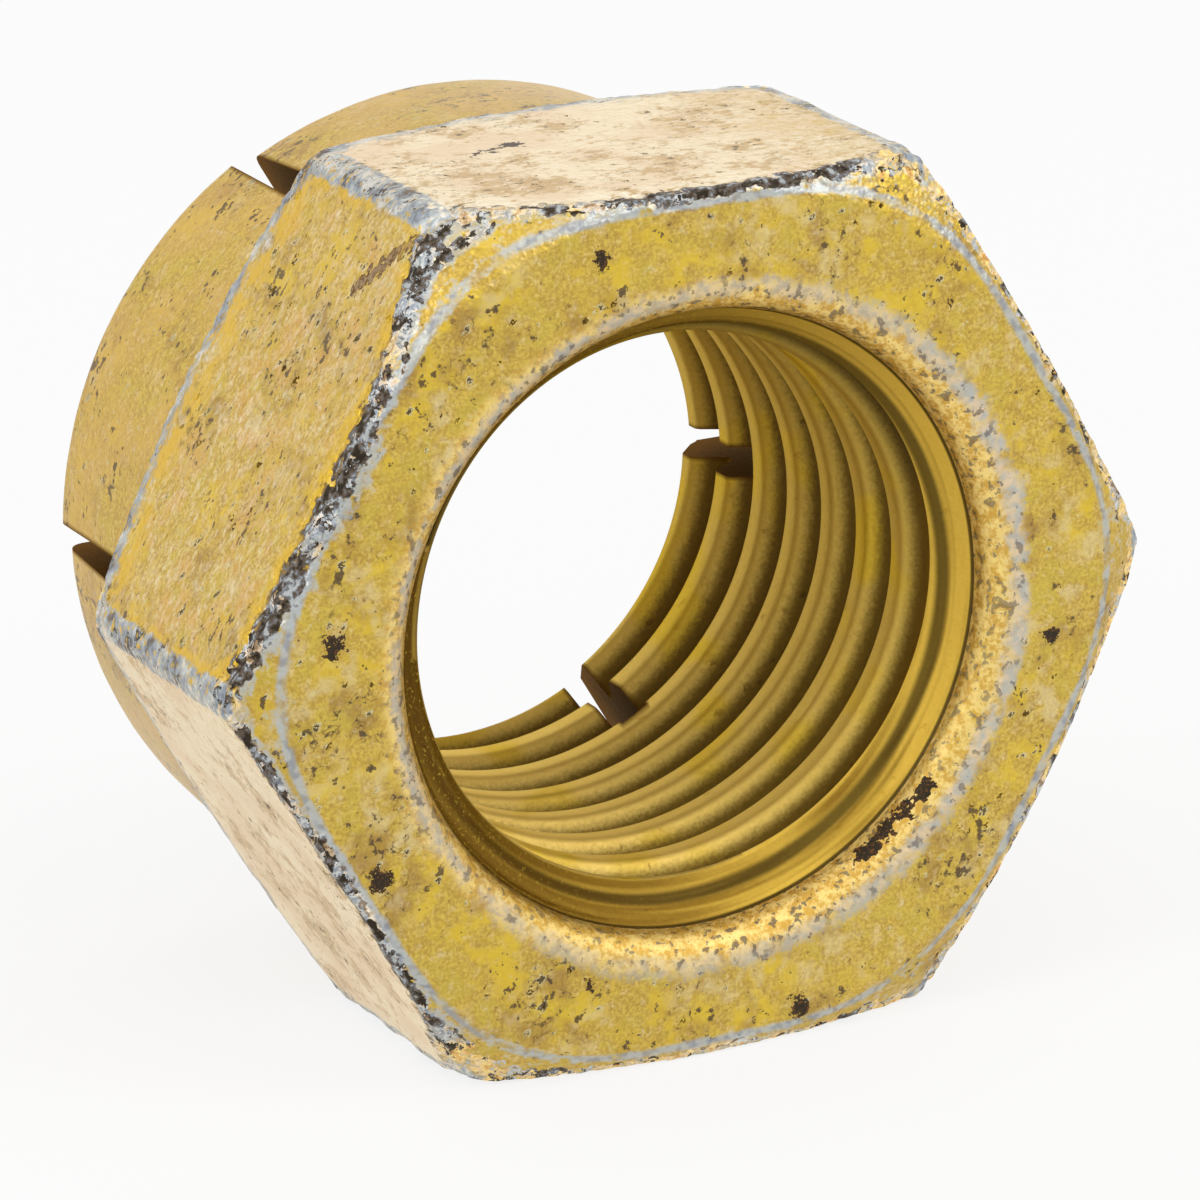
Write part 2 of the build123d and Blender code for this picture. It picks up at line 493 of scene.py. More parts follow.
def press_beams(points):
    """Bends every second beam of the crown towards the axis as a whole."""
    turn = (np.degrees(np.arctan2(points[:, 2], points[:, 0])) % 360) // 60 * 60 + 30
    lift = np.clip((points[:, 1] - SLOT_FLOOR) / SLOT_DEPTH, 0, 1) * BEAM_PRESS
    lift[~np.isin(turn, PRESSED_BEAMS)] = 0
    moved = points.copy()
    moved[:, 0] -= lift * np.cos(np.radians(turn))
    moved[:, 2] -= lift * np.sin(np.radians(turn))
    return moved


def store(mesh, name, *values):
    """Gives each point of the mesh one value or three, under one name."""
    kind, field = ("FLOAT", "value") if len(values) == 1 else ("FLOAT_VECTOR", "vector")
    layer = mesh.attributes.new(name, kind, "POINT")
    layer.data.foreach_set(field, np.stack([np.asarray(v, dtype=np.float32) for v in values], axis=1).ravel())


def segment_distance(points, start, end):
    """Distance of each point from a straight stretch."""
    start, end = np.array(start), np.array(end)
    along = end - start
    share = np.clip((points - start) @ along / (along @ along), 0, 1)
    return np.linalg.norm(points - start - share[:, None] * along, axis=1)


def turned_by(at, angle):
    """Degrees from a place that many degrees below +X, between -180 and 180."""
    return (at.turn + angle + 180) % 360 - 180


def mark_edges(mesh, at, hexagon, flat, calm):
    """Distance from the worn edges as a share of each band, share of dark scale, and height of the relief."""
    distances = [at.to_front / at.band_width, at.to_back / BACK_BAND]
    distances.append(np.where(flat, at.to_corner / CORNER_BAND, FAR))
    shares = [at.darkness, np.full_like(at.radius, BACK_DARKNESS), np.full_like(at.radius, CORNER_DARKNESS)]
    for start, end, half, share in BRANCHES:
        distances.append(segment_distance(at.points / MM, start, end) / half)
        shares.append(np.full_like(at.radius, share))
    nearest = np.argmin(distances, axis=0)
    edge = np.where(hexagon, np.min(distances, axis=0), FAR)
    cold = hexagon & ((nearest == 1) | (nearest == 2))
    store(mesh, "edge_zone", np.minimum(edge, FAR), np.choose(nearest, shares), cold)
    rough = np.clip((1.3 - edge) / 0.9, 0, 1) * np.where(cold, 0.3, 2.0)
    store(mesh, "relief", np.where(calm, 0.3, 1.1 + rough))


def mark_face(mesh, at, outer, mouth):
    """Distances from the pale line and the lip in millimetres, clusters of specks, and wear and painted light
    of the mouth.
    """
    line = LINE_RADIUS + LINE_BULGE * (0.5 + 0.5 * np.cos(6 * at.theta))
    circle = np.where(outer & (at.y < at.front + 0.05 * MM), np.abs(at.radius - line) / MM, FAR)
    past_lip = (at.radius - MOUTH_RADIUS - np.clip(at.y, 0, MOUTH_ROUNDING)) / MM
    mark = np.zeros(len(at.points))
    for place, reach in FACE_MARKS:
        away = np.linalg.norm(at.points / MM - np.array(place), axis=1)
        mark = np.maximum(mark, np.clip(1 - away / reach, 0, 1))
    store(mesh, "ring_zone", circle, np.where(mouth, past_lip, FAR), mark)
    angle, *columns = np.array(MOUTH_WEAR_AND_PAINTED_LIGHT).T
    store(mesh, "mouth_zone", *(np.where(mouth, np.interp(at.turn, angle, column), 0) for column in columns))


def mark_bore(mesh, at, mouth, bore, slot):
    """Depth in the thread's groove, painted shade where it starts, painted light on the thread and the
    countersink, amber film, and the slots.
    """
    depth = np.clip((at.radius - BORE_RADIUS) / (ROOT_RADIUS - BORE_RADIUS), 0, 1)
    # Painted shade: darker where the thread starts behind the countersink, and more so deeper in its groove.
    start = np.clip(1.2 - (at.y - THREAD_START) / (0.6 * MM), 0, 1) * np.clip(0.3 + 2.5 * depth, 0, 1)
    store(mesh, "thread_zone", np.where(bore, depth, 0), bore, np.where(bore, start, 0))
    # Painted light: the thread is lighter round LIT_ANGLE, where light falls in through the mouth.
    lit = np.exp(-((turned_by(at, LIT_ANGLE) / LIT_REACH) ** 2))
    amber = np.exp(-(((at.y - THREAD_START - AMBER_DEPTH) / AMBER_WIDTH) ** 2))
    amber = amber * np.clip(1.2 - np.abs(turned_by(at, AMBER_ANGLE)) / AMBER_REACH, 0, 0.9)
    # Painted light and shade on the countersink: lighter towards the upper right, darker at the bottom.
    cone_light = np.where(mouth, 0.5 + 0.5 * np.cos(at.theta - CONE_LIT_ANGLE), 0)
    store(mesh, "bore_zone", np.where(bore, lit, cone_light), np.where(bore, amber, 0), slot)


def mark_patches(mesh, at):
    """Patches wider than a millimetre, one kind per channel: warm, brown and pale."""
    patches = np.full((len(at.points), 3), 0.5)
    for k, point in enumerate(at.points):
        place = Vector(point) / MM + RANDOM_OFFSET
        for channel in range(3):
            for share, scale, shift in (WIDE_PATCHES, NARROW_PATCHES):
                patches[k, channel] += share * noise.noise(place * scale + channel * shift)
    store(mesh, "patches", *patches.T)


def mark_sides(mesh, at, outer, flat):
    """Flats, crown and front chamfer, and how far the film of each flat has faded and is painted pale as a
    reflection.
    """
    crown = (at.radius > ROOT_RADIUS + 0.3 * MM) & (at.y > HEXAGON_HEIGHT + 0.02 * MM)
    store(mesh, "side_zone", flat, crown, outer & (at.y < at.front) & (at.radius > FACE_RADIUS))
    faded_and_sheen = np.zeros(len(at.points))
    for middle, first, last in FADED_AND_SHEEN_FLATS:
        share = (at.turn - middle + 30) / 60
        faded_and_sheen = np.where(at.turn // 60 * 60 + 30 == middle, first + (last - first) * share, faded_and_sheen)
    store(mesh, "faded_and_sheen", np.where(flat, faded_and_sheen, 0))


def mark_zones(mesh, points):
    """Writes what the material needs to know of each point. Small margins count in the points on an edge."""
    at = Places(points)
    outer = at.radius > FACE_RADIUS - 1.2 * MM
    hexagon = outer & (at.y < HEXAGON_HEIGHT - 0.005 * MM)
    between = (at.y > at.front - 0.03 * MM) & (at.y < at.back + 0.1 * MM)
    flat = hexagon & between & (at.radius > at.wall - 0.3 * MM)
    before_thread = at.y < THREAD_START + 0.05 * MM
    mouth = before_thread & (at.radius < FACE_RADIUS)
    threaded = (at.y > THREAD_START - 0.03 * MM) & (at.y < NUT_HEIGHT - 0.02 * MM)
    bore = threaded & (at.radius < ROOT_RADIUS + 0.05 * MM)
    from_middle = (at.theta + BEAM_ANGLE / 2) % BEAM_ANGLE - BEAM_ANGLE / 2
    off_slot = np.abs(at.radius * np.sin(from_middle))
    slot = (off_slot < SLOT_WIDTH / 2 + 0.02 * MM) & (at.y > SLOT_FLOOR - 0.01 * MM)
    calm = bore | slot | (before_thread & (at.radius < MOUTH_RADIUS))
    mark_edges(mesh, at, hexagon, flat, calm)
    mark_face(mesh, at, outer, mouth)
    mark_bore(mesh, at, mouth, bore, slot)
    mark_patches(mesh, at)
    mark_sides(mesh, at, outer, flat)


def make_nut():
    """Whole nut: blank, thread, slots, zones for the material, and the beams pressed inwards last."""
    mesh = cut(make_blank(), [make_tap(), make_saw()])
    points = read_points(mesh)
    mark_zones(mesh, points)
    mesh.vertices.foreach_set("co", press_beams(points).ravel())
    mesh.name = "nut_body"
    for polygon in mesh.polygons:
        polygon.use_smooth = True
    mesh.set_sharp_from_angle(angle=SHARP_ANGLE)
    nut = bpy.data.objects.new("nut_body", mesh)
    bpy.context.scene.collection.objects.link(nut)
    return nut


def srgb(red, green, blue):
    """Linear colour from 8-bit screen values."""
    linear = [((c / 255 + 0.055) / 1.055) ** 2.4 if c > 10 else c / 255 / 12.92 for c in (red, green, blue)]
    return (*linear, 1.0)


class Graph:
    """Node tree of a material or a world, with a short way to add each kind of node."""

    def __init__(self, owner):
        owner.use_nodes = True
        self.tree = owner.node_tree
        self.shader = self.tree.nodes.get("Principled BSDF")

    def put(self, socket, value):
        """Links a socket to another node's output, or sets its value."""
        if isinstance(value, bpy.types.NodeSocket):
            self.tree.links.new(value, socket)
        else:
            socket.default_value = value

    def add(self, kind, *values, **settings):
        """New node of that kind. The values go to its first inputs."""
        node = self.tree.nodes.new("ShaderNode" + kind)
        for name, setting in settings.items():
            setattr(node, name, setting)
        for socket, value in zip(node.inputs, values):
            self.put(socket, value)
        return node

    def attribute(self, name, output="Fac"):
        return self.add("Attribute", attribute_name=name).outputs[output]

    def split(self, vector):
        return list(self.add("SeparateXYZ", vector).outputs)

    def math(self, operation, *values):
        return self.add("Math", *values, operation=operation).outputs[0]

    def vector(self, operation, *values, output="Vector"):
        return self.add("VectorMath", *values, operation=operation).outputs[output]

    def scaled(self, vector, factor):
        node = self.add("VectorMath", vector, operation="SCALE")
        self.put(node.inputs["Scale"], factor)
        return node.outputs[0]

    def distance(self, place, start, end):
        """Distance from a straight stretch."""
        from_start = self.vector("SUBTRACT", place, start)
        along = Vector(end) - Vector(start)
        share = self.vector("DOT_PRODUCT", from_start, along / along.length_squared, output="Value")
        limited = self.add("Clamp", share).outputs[0]
        from_line = self.vector("SUBTRACT", from_start, self.scaled(along, limited))
        return self.vector("LENGTH", from_line, output="Value")

    def noise(self, place, scale, detail, roughness, colour=False):
        node = self.add("TexNoise", place)
        for name, value in (("Scale", scale), ("Detail", detail), ("Roughness", roughness)):
            node.inputs[name].default_value = value
        return node.outputs["Color" if colour else "Fac"]

    def cells(self, place, scale):
        """Distance from the middle of the nearest cell, and the cell's random colour."""
        node = self.add("TexVoronoi", place)
        node.inputs["Scale"].default_value = scale
        return [node.outputs[name] for name in ("Distance", "Color")]

    def step(self, value, low, high, top=1.0):
        """0 before one limit, top past the other, and smooth between. The first limit can be the higher."""
        return self.add("MapRange", value, low, high, 0.0, top, interpolation_type="SMOOTHSTEP").outputs[0]

    def mix(self, share, first, second):
        """Colour between two others."""
        node = self.add("Mix", share, data_type="RGBA")
        colours = [socket for socket in node.inputs if socket.type == "RGBA"]
        for socket, value in zip(colours, (first, second)):
            self.put(socket, value)
        return next(socket for socket in node.outputs if socket.type == "RGBA")

    def turned(self, place):
        """Place that is nearly the same all round the axis: radius, height, and a little of X and Z."""
        x, y, z = self.split(place)
        radius = self.math("SQRT", self.math("ADD", self.math("MULTIPLY", x, x), self.math("MULTIPLY", z, z)))
        little = self.math("MULTIPLY", self.math("ADD", x, z), 0.04)
        return self.add("CombineXYZ", radius, y, little).outputs[0]

    def ramp(self, value, stops):
        """Colour that runs from one stop to the next."""
        node = self.add("ValToRGB", value)
        elements = node.color_ramp.elements
        while len(elements) < len(stops):
            elements.new(1.0)
        for element, (position, colour) in zip(elements, stops):
            element.position = position
            element.color = colour
        return node.outputs["Color"]

    def seen(self):
        """1 where the camera or a reflection sees the surface itself, and 0 where it only lights others."""
        path = self.add("LightPath")
        return self.math("MAXIMUM", path.outputs["Is Camera Ray"], path.outputs["Is Glossy Ray"])

    def show(self, share, first, second, output):
        """Mixes two shaders into the output node of that name."""
        mix = self.add("MixShader", share, first.outputs[0], second.outputs[0])
        self.put(self.tree.nodes[output].inputs["Surface"], mix.outputs[0])


GOLD = srgb(222, 190, 72)
OLIVE = srgb(184, 148, 48)
YELLOW = srgb(226, 192, 34)
GREENISH = srgb(206, 184, 58)
BROWN = srgb(150, 108, 42)
CRACK = srgb(104, 72, 26)
PALE = srgb(228, 210, 160)
FADED_SHEEN = srgb(255, 244, 220)
PINK = srgb(244, 222, 194)
SAND = srgb(206, 172, 116)
ROSE = srgb(220, 164, 90)
PIT = srgb(66, 42, 14)
RIM = srgb(214, 204, 160)
HAZE = srgb(184, 190, 190)
ZINC = srgb(146, 156, 170)
WHITE = srgb(220, 220, 216)
FLESH = srgb(226, 204, 174)
CREAM = srgb(255, 228, 146)
ORANGE = srgb(222, 170, 84)
TAN = srgb(160, 130, 92)
BLACK = srgb(34, 29, 27)
SCALE = srgb(72, 63, 56)
UMBER = srgb(104, 92, 82)
SLATE = srgb(126, 132, 142)
RUST = srgb(104, 66, 38)
HONEY = srgb(226, 184, 32)
HONEY_BROWN = srgb(214, 174, 92)
CREST = srgb(212, 180, 84)
STRAW_LIT = srgb(252, 222, 126)
CONE = srgb(150, 116, 36)
CONE_STREAK = srgb(222, 186, 76)
VALLEY_SHADE = srgb(122, 96, 32)
PAINTED_SHADE = srgb(58, 40, 8)
LIP_SHADE = srgb(108, 78, 22)
LIP_GOLD = srgb(220, 176, 80)
AMBER = srgb(204, 142, 14)
SLOT_SHADE = srgb(104, 66, 10)
EDGE_TINT = srgb(232, 206, 150)

# Colours of the worn bands: light wear, wear with much dark scale, back and upright edges, plates of scale
WORN_STOPS = (
    (0.4, ORANGE), (0.5, CREAM), (0.57, FLESH), (0.62, GOLD), (0.66, HAZE), (0.72, WHITE), (0.78, TAN),
)
GREY_STOPS = (
    (0.4, TAN), (0.47, FLESH), (0.53, WHITE), (0.58, ZINC), (0.63, HAZE), (0.68, WHITE), (0.76, SLATE),
)
COLD_STOPS = ((0.36, UMBER), (0.44, ZINC), (0.54, HAZE), (0.62, WHITE), (0.7, FLESH))
SCALE_STOPS = ((0.36, BLACK), (0.43, SCALE), (0.52, UMBER), (0.62, SLATE), (0.68, HAZE))


class Plating:
    """Colour and relief of the yellow chromated zinc, with its pits, dirt, bare zinc and scale, and painted
    light and shade.
    """

    def __init__(self, g):
        self.g = g
        coordinates = g.add("TexCoord")
        self.place = g.scaled(coordinates.outputs["Object"], 1 / MM)
        self.read_zones()
        self.grain = g.noise(self.place, *GRAIN)
        self.jitter = g.math("SUBTRACT", self.grain, 0.5)
        folds = g.noise(g.vector("MULTIPLY", self.place, (1.0, 1.5, 1.0)), *FOLDS, colour=True)
        self.crease, self.fold, self.clot = g.split(folds)
        self.sway = g.vector("SUBTRACT", folds, (0.5, 0.5, 0.5))
        self.red, self.green, self.blue = g.split(g.noise(self.place, *CLOUDS, colour=True))
        shaken = g.vector("MULTIPLY_ADD", self.jitter, (0.3, -0.24, 0.28), self.place)
        self.distance, kind = g.cells(shaken, PITS_PER_MM)
        self.kind = g.split(kind)
        self.marks = g.noise(g.turned(self.place), *TOOL_MARKS)

    def read_zones(self):
        """What the mesh tells of each point: see mark_zones."""
        g = self.g
        self.edge, self.dark, self.cold = g.split(g.attribute("edge_zone", "Vector"))
        self.circle, self.mouth, self.mark = g.split(g.attribute("ring_zone", "Vector"))
        self.ring, self.cream, self.rim = g.split(g.attribute("mouth_zone", "Vector"))
        self.depth, self.bore, self.start = g.split(g.attribute("thread_zone", "Vector"))
        self.lit, self.amber, self.slot = g.split(g.attribute("bore_zone", "Vector"))
        self.wall, self.crown, self.chamfer = g.split(g.attribute("side_zone", "Vector"))
        self.warm, self.brown, self.pale = g.split(g.attribute("patches", "Vector"))
        self.faded_and_sheen = g.attribute("faded_and_sheen")

    def both(self, *values):
        """Product of several masks."""
        product = values[0]
        for value in values[1:]:
            product = self.g.math("MULTIPLY", product, value)
        return product

    def sum(self, *terms):
        """Weighted sum of values, given as pairs of weight and value."""
        total = 0.0
        for weight, value in terms:
            total = self.g.math("MULTIPLY_ADD", value, weight, total)
        return total

    def film(self):
        """Chromate film: golden with olive, yellow, brown and pale patches, faded to cream with a painted
        reflection on some flats.
        """
        g = self.g
        relief = self.sum((1.0, self.jitter), (0.35, self.fold))
        colour = g.mix(g.step(relief, -0.06, 0.42), OLIVE, GOLD)
        yellow = self.both(g.step(self.red, 0.44, 0.62), g.step(self.warm, 0.4, 0.66, 0.85))
        colour = g.mix(yellow, colour, YELLOW)
        greenish = self.both(g.step(self.blue, 0.54, 0.36), g.step(self.warm, 0.58, 0.4, 0.45))
        colour = g.mix(greenish, colour, GREENISH)
        brown = self.both(g.step(self.green, 0.46, 0.68), g.step(self.brown, 0.4, 0.7, 0.6))
        colour = g.mix(brown, colour, BROWN)
        cloudy = self.sum((0.8, self.blue), (0.2, self.fold))
        pale = self.both(g.step(cloudy, 0.47, 0.66), g.step(self.pale, 0.42, 0.7, 0.5))
        colour = g.mix(pale, colour, PALE)
        colour = g.mix(g.math("MULTIPLY", self.chamfer, 0.2), colour, OLIVE)
        colour = g.mix(self.both(self.crown, g.step(self.warm, 0.3, 0.6, 0.5)), colour, HONEY_BROWN)
        rose = self.both(self.wall, g.step(self.green, 0.54, 0.36), g.step(self.warm, 0.64, 0.42, 0.45))
        colour = g.mix(rose, colour, ROSE)
        colour = self.fade_and_sheen(colour)
        crack = g.math("ABSOLUTE", g.math("SUBTRACT", self.crease, 0.5))
        cracked = self.sum((0.5, self.brown), (1.0, self.clot))
        self.crack = self.both(g.step(crack, 0.045, 0.01), g.step(cracked, 0.86, 0.98))
        return g.mix(g.math("MULTIPLY", self.crack, 0.6), colour, CRACK)

    def fade_and_sheen(self, colour):
        """Cream, pink and sand-coloured streaks where the film has faded, the cream partly a painted
        reflection.
        """
        g = self.g
        shade = g.mix(g.step(self.warm, 0.4, 0.7, 0.8), FADED_SHEEN, PINK)
        sandy = self.sum((0.6, self.fold), (0.9, self.red), (0.3, self.jitter), (0.4, self.brown))
        shade = g.mix(g.step(sandy, 0.94, 1.16, 0.85), shade, SAND)
        # The cream of the top and lower left flats is part faded film, part painted reflection.
        amount = self.sum((0.3, self.jitter), (0.7, self.crease), (1.0, self.faded_and_sheen))
        return g.mix(g.step(amount, 0.34, 0.98), colour, shade)

    def pits(self, colour):
        """Dark pits of many sizes, some with a pale rim, and dark specks. Returns the colour and the pits."""
        g = self.g
        red, green, _ = self.kind
        here = self.sum((0.36, self.brown), (0.05, self.wall), (-0.1, self.faded_and_sheen), (-0.42, 1.0))
        reach = g.math("MULTIPLY_ADD", red, 0.44, here)
        inside = g.math("SUBTRACT", reach, self.distance)
        pit = self.both(g.step(inside, -0.02, 0.03), g.math("MULTIPLY_ADD", self.crown, -0.6, 1.0))
        rim = self.both(g.step(inside, -0.11, -0.05), g.step(green, 0.46, 0.5, 0.8), g.step(reach, 0.0, 0.03))
        colour = g.mix(rim, colour, RIM)
        colour = g.mix(g.math("MULTIPLY", pit, 0.85), colour, PIT)
        speck = self.sum((0.5, self.red), (0.5, self.clot), (0.3, self.jitter))
        speck = self.sum((1.0, speck), (0.16, self.brown), (-0.06, self.faded_and_sheen))
        colour = g.mix(g.step(speck, 0.7, 0.74, 0.85), colour, PIT)
        return colour, pit

    def marks_and_scar(self, colour):
        """Dirt at its places, and the long scar on the left flat. Returns the colour and what is dull."""
        g = self.g
        place = g.vector("MULTIPLY_ADD", self.sway, (0.5, 0.5, 0.5), self.place)
        mark = self.mark
        for start, end, reach in DIRT_STREAKS:
            near = g.math("MULTIPLY_ADD", g.distance(place, start, end), -1 / reach, 1.0)
            mark = g.math("MAXIMUM", near, mark)
        shaken = self.sum((1.4, self.jitter), (1.6, self.red), (1.2, self.fold), (1.0, mark))
        dirt = self.both(g.step(shaken, 1.66, 1.76), g.step(mark, 0.0, 0.12))
        colour = g.mix(dirt, colour, g.mix(g.step(self.grain, 0.48, 0.72), BLACK, RUST))
        start, end, half = SCAR
        scar = self.sum((0.8, self.jitter), (0.7, self.fold), (-1 / half, g.distance(place, start, end)))
        outline = g.step(scar, -0.62, -0.5)
        colour = g.mix(outline, colour, CRACK)
        colour = g.mix(g.step(scar, -0.34, -0.2), colour, g.mix(g.step(self.grain, 0.3, 0.56), RUST, TAN))
        return colour, g.math("MAXIMUM", dirt, outline)

    def rings(self, colour):
        """Pale line of bare zinc round the face, and the worn ring and the lip round the mouth, the lip's
        cream partly a painted highlight.
        """
        g = self.g
        half = self.sum((0.1, self.green), (0.08, self.fold), (0.06, self.jitter))
        within = g.step(g.math("SUBTRACT", half, self.circle), -0.03, 0.06)
        circle = self.both(within, g.step(self.blue, 0.3, 0.42, 0.85))
        colour = g.mix(circle, colour, g.mix(g.step(self.fold, 0.36, 0.56), ZINC, HAZE))
        streaky = self.sum((1.0, self.fold), (0.5, self.jitter))
        streak = self.both(self.chamfer, g.step(streaky, 0.58, 0.68, 0.45))
        colour = g.mix(streak, colour, HAZE)

        shaken = self.sum((0.3, self.jitter), (0.2, self.fold), (0.4, self.green), (1.0, self.mouth))
        # The cream on the lip is its own pale film, brightened as a painted highlight.
        self.lip = self.both(g.step(self.mouth, -1.18, -1.12), g.step(shaken, 0.5, 0.2), self.cream)
        shaken = g.math("MULTIPLY_ADD", self.rim, 0.4, shaken)
        tone = self.sum((0.7, self.grain), (0.8, self.fold), (0.2, self.marks))
        colour = g.mix(self.lip, colour, g.mix(g.step(tone, 0.68, 0.98), LIP_GOLD, CREAM))
        ring = self.both(g.step(shaken, 0.02, 0.3), g.step(shaken, 0.66, 0.42))
        ring = self.both(ring, g.step(self.red, 0.3, 0.5), self.ring)
        colour = g.mix(ring, colour, g.mix(g.step(self.fold, 0.34, 0.7), HAZE, FLESH))
        speck = g.step(self.sum((0.5, self.jitter), (1.0, self.clot)), 0.58, 0.66, 0.8)
        speck = self.both(speck, g.math("MAXIMUM", ring, self.lip))
        return g.mix(speck, colour, UMBER)

    def crust(self, colour):
        """Worn bands along the edges: plates of dark scale between zinc, base metal and chipped plating."""
        g = self.g
        lumpy = self.sum((0.4, self.jitter), (1.2, self.fold), (1.2, self.blue))
        inside = g.math("SUBTRACT", lumpy, g.math("ADD", self.edge, 0.3))
        heavy = g.step(self.dark, 0.35, 0.6)
        strip = self.both(g.step(inside, -1.5, -0.2), g.step(self.green, 0.62, 0.46))
        strip = self.both(strip, self.wall, g.step(self.faded_and_sheen, 0.2, 0.1, 0.9))
        colour = g.mix(strip, colour, HONEY)
        skirt = self.both(g.step(inside, -0.6, -0.15, 0.8), g.step(self.clot, 0.3, 0.46))
        skirt = self.both(skirt, heavy, g.math("SUBTRACT", 1.0, self.wall))
        colour = g.mix(skirt, colour, HAZE)
        warm = g.math("SUBTRACT", 1.0, self.cold)
        outline = self.both(self.wall, warm, g.step(inside, -0.2, -0.06, 0.8), g.step(self.clot, 0.42, 0.5))
        colour = g.mix(outline, colour, CRACK)
        soft = self.both(g.step(inside, -0.1, 0.6), g.step(self.clot, 0.28, 0.48), self.cold)
        band = g.math("MAXIMUM", soft, self.both(g.step(inside, -0.04, 0.08), warm))

        fleck = self.sum((0.24, self.kind[1]), (0.2, self.jitter), (0.5, self.clot), (0.4, self.green))
        light = g.mix(heavy, g.ramp(fleck, WORN_STOPS), g.ramp(fleck, GREY_STOPS))
        tone = self.sum((0.2, self.jitter), (0.3, self.fold), (0.7, self.green))
        light = g.mix(self.cold, light, g.ramp(tone, COLD_STOPS))
        light = g.mix(self.crack, light, CRACK)
        clump = self.sum((0.26, self.kind[2]), (0.14, self.jitter), (0.4, self.fold), (0.6, self.red))
        clump = g.math("MULTIPLY_ADD", self.dark, 0.36, clump)
        plate = g.step(clump, 0.83, 0.86)
        shade = g.ramp(self.sum((0.5, self.jitter), (1.0, self.clot)), SCALE_STOPS)
        shade = g.mix(g.step(clump, 0.885, 0.855), shade, BLACK)
        self.scale = self.both(band, plate)
        return g.mix(band, colour, g.mix(plate, light, shade)), band

    def inside(self, colour):
        """Countersink with tool marks, painted light and painted shade, thread with painted shade in its
        grooves and painted light on its crests, and slots in painted shade.
        """
        g = self.g
        cone = self.both(g.step(self.mouth, -1.12, -1.16), g.step(self.mouth, -2.0, -1.9))
        # Painted light: the countersink's streaks are lighter on its painted-lit side.
        tone = self.sum((1.0, self.marks), (0.4, self.lit))
        colour = g.mix(cone, colour, g.mix(g.step(tone, 0.46, 0.92), CONE, CONE_STREAK))
        # Painted shade: a thin dark line in the crease between the lip and the countersink.
        line = g.math("ABSOLUTE", g.math("ADD", self.mouth, 1.14))
        colour = g.mix(g.step(line, 0.05, 0.02, 0.85), colour, PAINTED_SHADE)
        # Painted shade: a dark band across the countersink, standing in for the shadowed start of the
        # thread's groove.
        groove = self.both(g.step(self.mouth, -1.42, -1.5), g.step(self.mouth, -1.68, -1.58, 0.8))
        colour = g.mix(groove, colour, PAINTED_SHADE)
        # Painted shade: the rim's inner part turns dark brown on the left, where it faces away from the
        # light.
        rim = self.both(g.step(self.mouth, -0.72, -0.98), g.math("SUBTRACT", 1.0, self.bore), self.rim)
        colour = g.mix(rim, colour, g.mix(g.step(self.grain, 0.56, 0.84), LIP_SHADE, GOLD))
        # Painted light: the crests turn pale straw where the thread is painted as lit.
        crest = g.mix(self.lit, CREST, STRAW_LIT)
        crest = g.mix(g.step(self.warm, 0.5, 0.75, 0.6), crest, YELLOW)
        # Painted shade: the thread darkens from its crest towards the groove's root.
        thread = g.mix(g.step(self.sum((0.14, self.jitter), (1.0, self.depth)), 0.1, 0.55), crest, VALLEY_SHADE)
        # Painted shade where the thread starts behind the countersink.
        thread = g.mix(self.start, thread, PAINTED_SHADE)
        thread = g.mix(self.amber, thread, AMBER)
        colour = g.mix(self.bore, colour, thread)
        self.inner = g.math("MAXIMUM", g.math("MAXIMUM", self.bore, self.slot), cone)
        # Painted shade: the slots' walls are dark brown, as if in shadow.
        return g.mix(self.slot, colour, SLOT_SHADE)


def nut_material():
    material = bpy.data.materials.new("yellow_zinc_steel")
    g = Graph(material)
    plating = Plating(g)
    colour = plating.film()
    colour, pit = plating.pits(colour)
    colour = plating.rings(colour)
    colour, dirt = plating.marks_and_scar(colour)
    colour, band = plating.crust(colour)
    colour = plating.inside(colour)
    g.put(g.shader.inputs["Base Color"], colour)
    dull = g.math("MAXIMUM", plating.scale, dirt)
    matt = g.math("MAXIMUM", pit, plating.lip)
    bare = g.math("MAXIMUM", g.math("MAXIMUM", dull, plating.inner), matt)
    g.put(g.shader.inputs["Metallic"], g.math("MULTIPLY_ADD", dull, -0.75, 0.9))
    rough = plating.sum((0.24, plating.grain), (0.2, plating.inner), (0.28, 1.0))
    g.put(g.shader.inputs["Roughness"], g.math("MULTIPLY_ADD", g.math("MAXIMUM", band, matt), 0.2, rough))
    g.put(g.shader.inputs["Coat Weight"], g.math("MULTIPLY_ADD", bare, -0.65, 0.7))
    g.shader.inputs["Coat Roughness"].default_value = 0.3
    g.shader.inputs["Coat IOR"].default_value = 1.6
    g.shader.inputs["Specular Tint"].default_value = EDGE_TINT

    relief = g.math("MULTIPLY", g.noise(plating.place, *RELIEF), g.attribute("relief"))
    bump = g.add("Bump")
    bump.inputs["Strength"].default_value = 1.0
    bump.inputs["Distance"].default_value = RELIEF_DEPTH
    g.put(bump.inputs["Height"], relief)
    g.put(g.shader.inputs["Normal"], bump.outputs[0])
    return material


# Floor: width in metres, and the share of plain white that it shows to the camera, beside its shadow
FLOOR_WIDTH = 1.2
FLOOR_GLOW = 0.8
FLOOR_COLOUR = (0.88, 0.88, 0.88, 1)


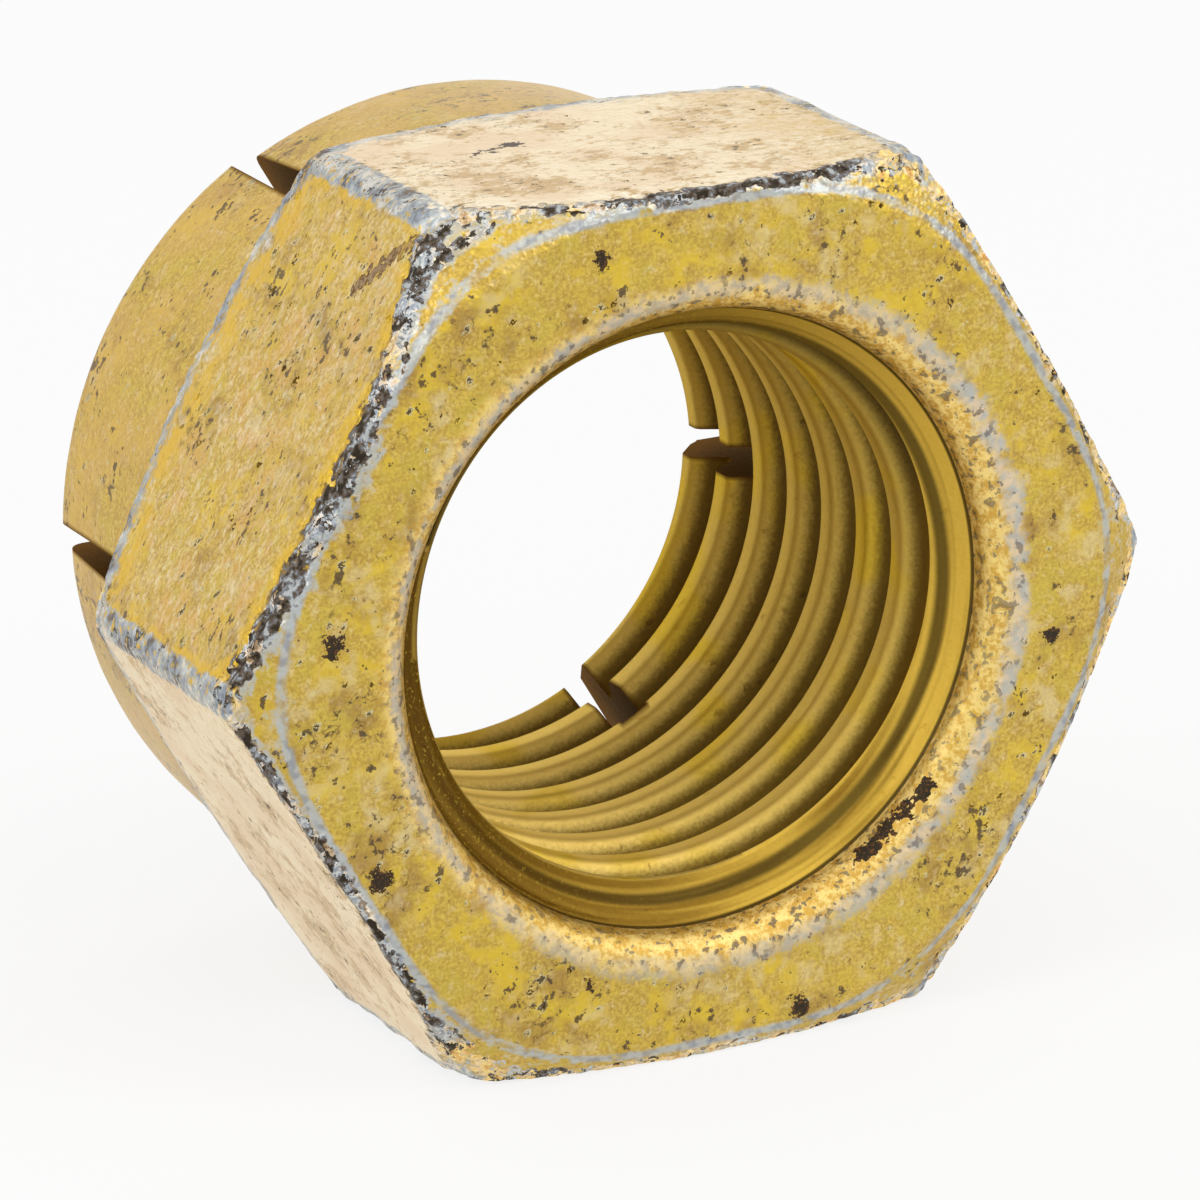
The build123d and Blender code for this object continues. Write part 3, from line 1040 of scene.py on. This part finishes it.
def make_floor():
    """Pale paper under the nut, white where no shadow falls on it."""
    half = FLOOR_WIDTH / 2
    corners = [(x * half, y * half, FLOOR_HEIGHT) for x, y in ((-1, -1), (1, -1), (1, 1), (-1, 1))]
    floor = new_object("floor", corners, [(0, 1, 2, 3)])
    material = bpy.data.materials.new("floor_paper")
    g = Graph(material)
    g.shader.inputs["Base Color"].default_value = FLOOR_COLOUR
    g.shader.inputs["Roughness"].default_value = 0.9
    glow = g.add("Emission")
    g.show(g.math("MULTIPLY", g.seen(), FLOOR_GLOW), g.shader, glow, "Material Output")
    floor.data.materials.append(material)


# Light: strength of the world where it is not seen itself, and wide soft panels with their place (azimuth,
# elevation), distance and width in metres, and radiance, where 1 is white
AMBIENT = 0.7
PANELS = (
    ("top_panel", 0, 80, 0.45, 0.5, 0.35),
    ("left_panel", -80, 35, 0.35, 0.16, 3.0),
    ("right_panel", 42, 38, 0.35, 0.2, 1.8),
)


def make_world():
    """White backdrop, also in reflections, and a little less light on what scatters it."""
    world = bpy.data.worlds.new("studio")
    bpy.context.scene.world = world
    g = Graph(world)
    ambient = g.tree.nodes["Background"]
    backdrop = g.add("Background")
    for background, strength in ((ambient, AMBIENT), (backdrop, 1.0)):
        background.inputs["Color"].default_value = (1, 1, 1, 1)
        background.inputs["Strength"].default_value = strength
    g.show(g.seen(), ambient, backdrop, "World Output")


def direction(azimuth, elevation):
    """Unit vector towards a place seen at an azimuth and an elevation. Azimuth 0 lies on the face's side."""
    a, e = radians(azimuth), radians(elevation)
    return Vector((sin(a) * cos(e), -cos(a) * cos(e), sin(e)))


def add_panel(name, azimuth, elevation, distance, width, radiance):
    """Square soft lamp that faces the nut."""
    data = bpy.data.lights.new(name, "AREA")
    data.size = width
    data.energy = radiance * pi * width**2
    lamp = bpy.data.objects.new(name, data)
    back = direction(azimuth, elevation)
    lamp.location = back * distance
    lamp.rotation_euler = back.to_track_quat("Z", "Y").to_euler()
    bpy.context.scene.collection.objects.link(lamp)


# Camera of the photograph, found by fitting the hexagon and the bore's circles
CAMERA_AZIMUTH = -26.573
CAMERA_ELEVATION = 18.082
CAMERA_ROLL = -1.148
CAMERA_DISTANCE = 8.7836 * ACROSS_FLATS
CAMERA_FOCAL_PIXELS = 8000
FRAME_PIXELS = 1200
AIM = Vector((-0.0996, 0.0618, 0.0327)) * ACROSS_FLATS


def make_camera():
    data = bpy.data.cameras.new("camera")
    data.sensor_width = 36
    data.lens = data.sensor_width * CAMERA_FOCAL_PIXELS / FRAME_PIXELS
    data.clip_start = 0.005
    camera = bpy.data.objects.new("camera", data)
    back = direction(CAMERA_AZIMUTH, CAMERA_ELEVATION)
    camera.location = AIM + back * CAMERA_DISTANCE
    turn = back.to_track_quat("Z", "Y").to_matrix().to_4x4() @ Matrix.Rotation(radians(CAMERA_ROLL), 4, "Z")
    camera.rotation_euler = turn.to_euler()
    bpy.context.scene.collection.objects.link(camera)
    bpy.context.scene.camera = camera


nut = make_nut()
nut.data.materials.append(nut_material())
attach(nut, "root")
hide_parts(NODE)

make_floor()
make_world()
for panel in PANELS:
    add_panel(*panel)
make_camera()
bpy.context.scene.view_settings.view_transform = "Standard"
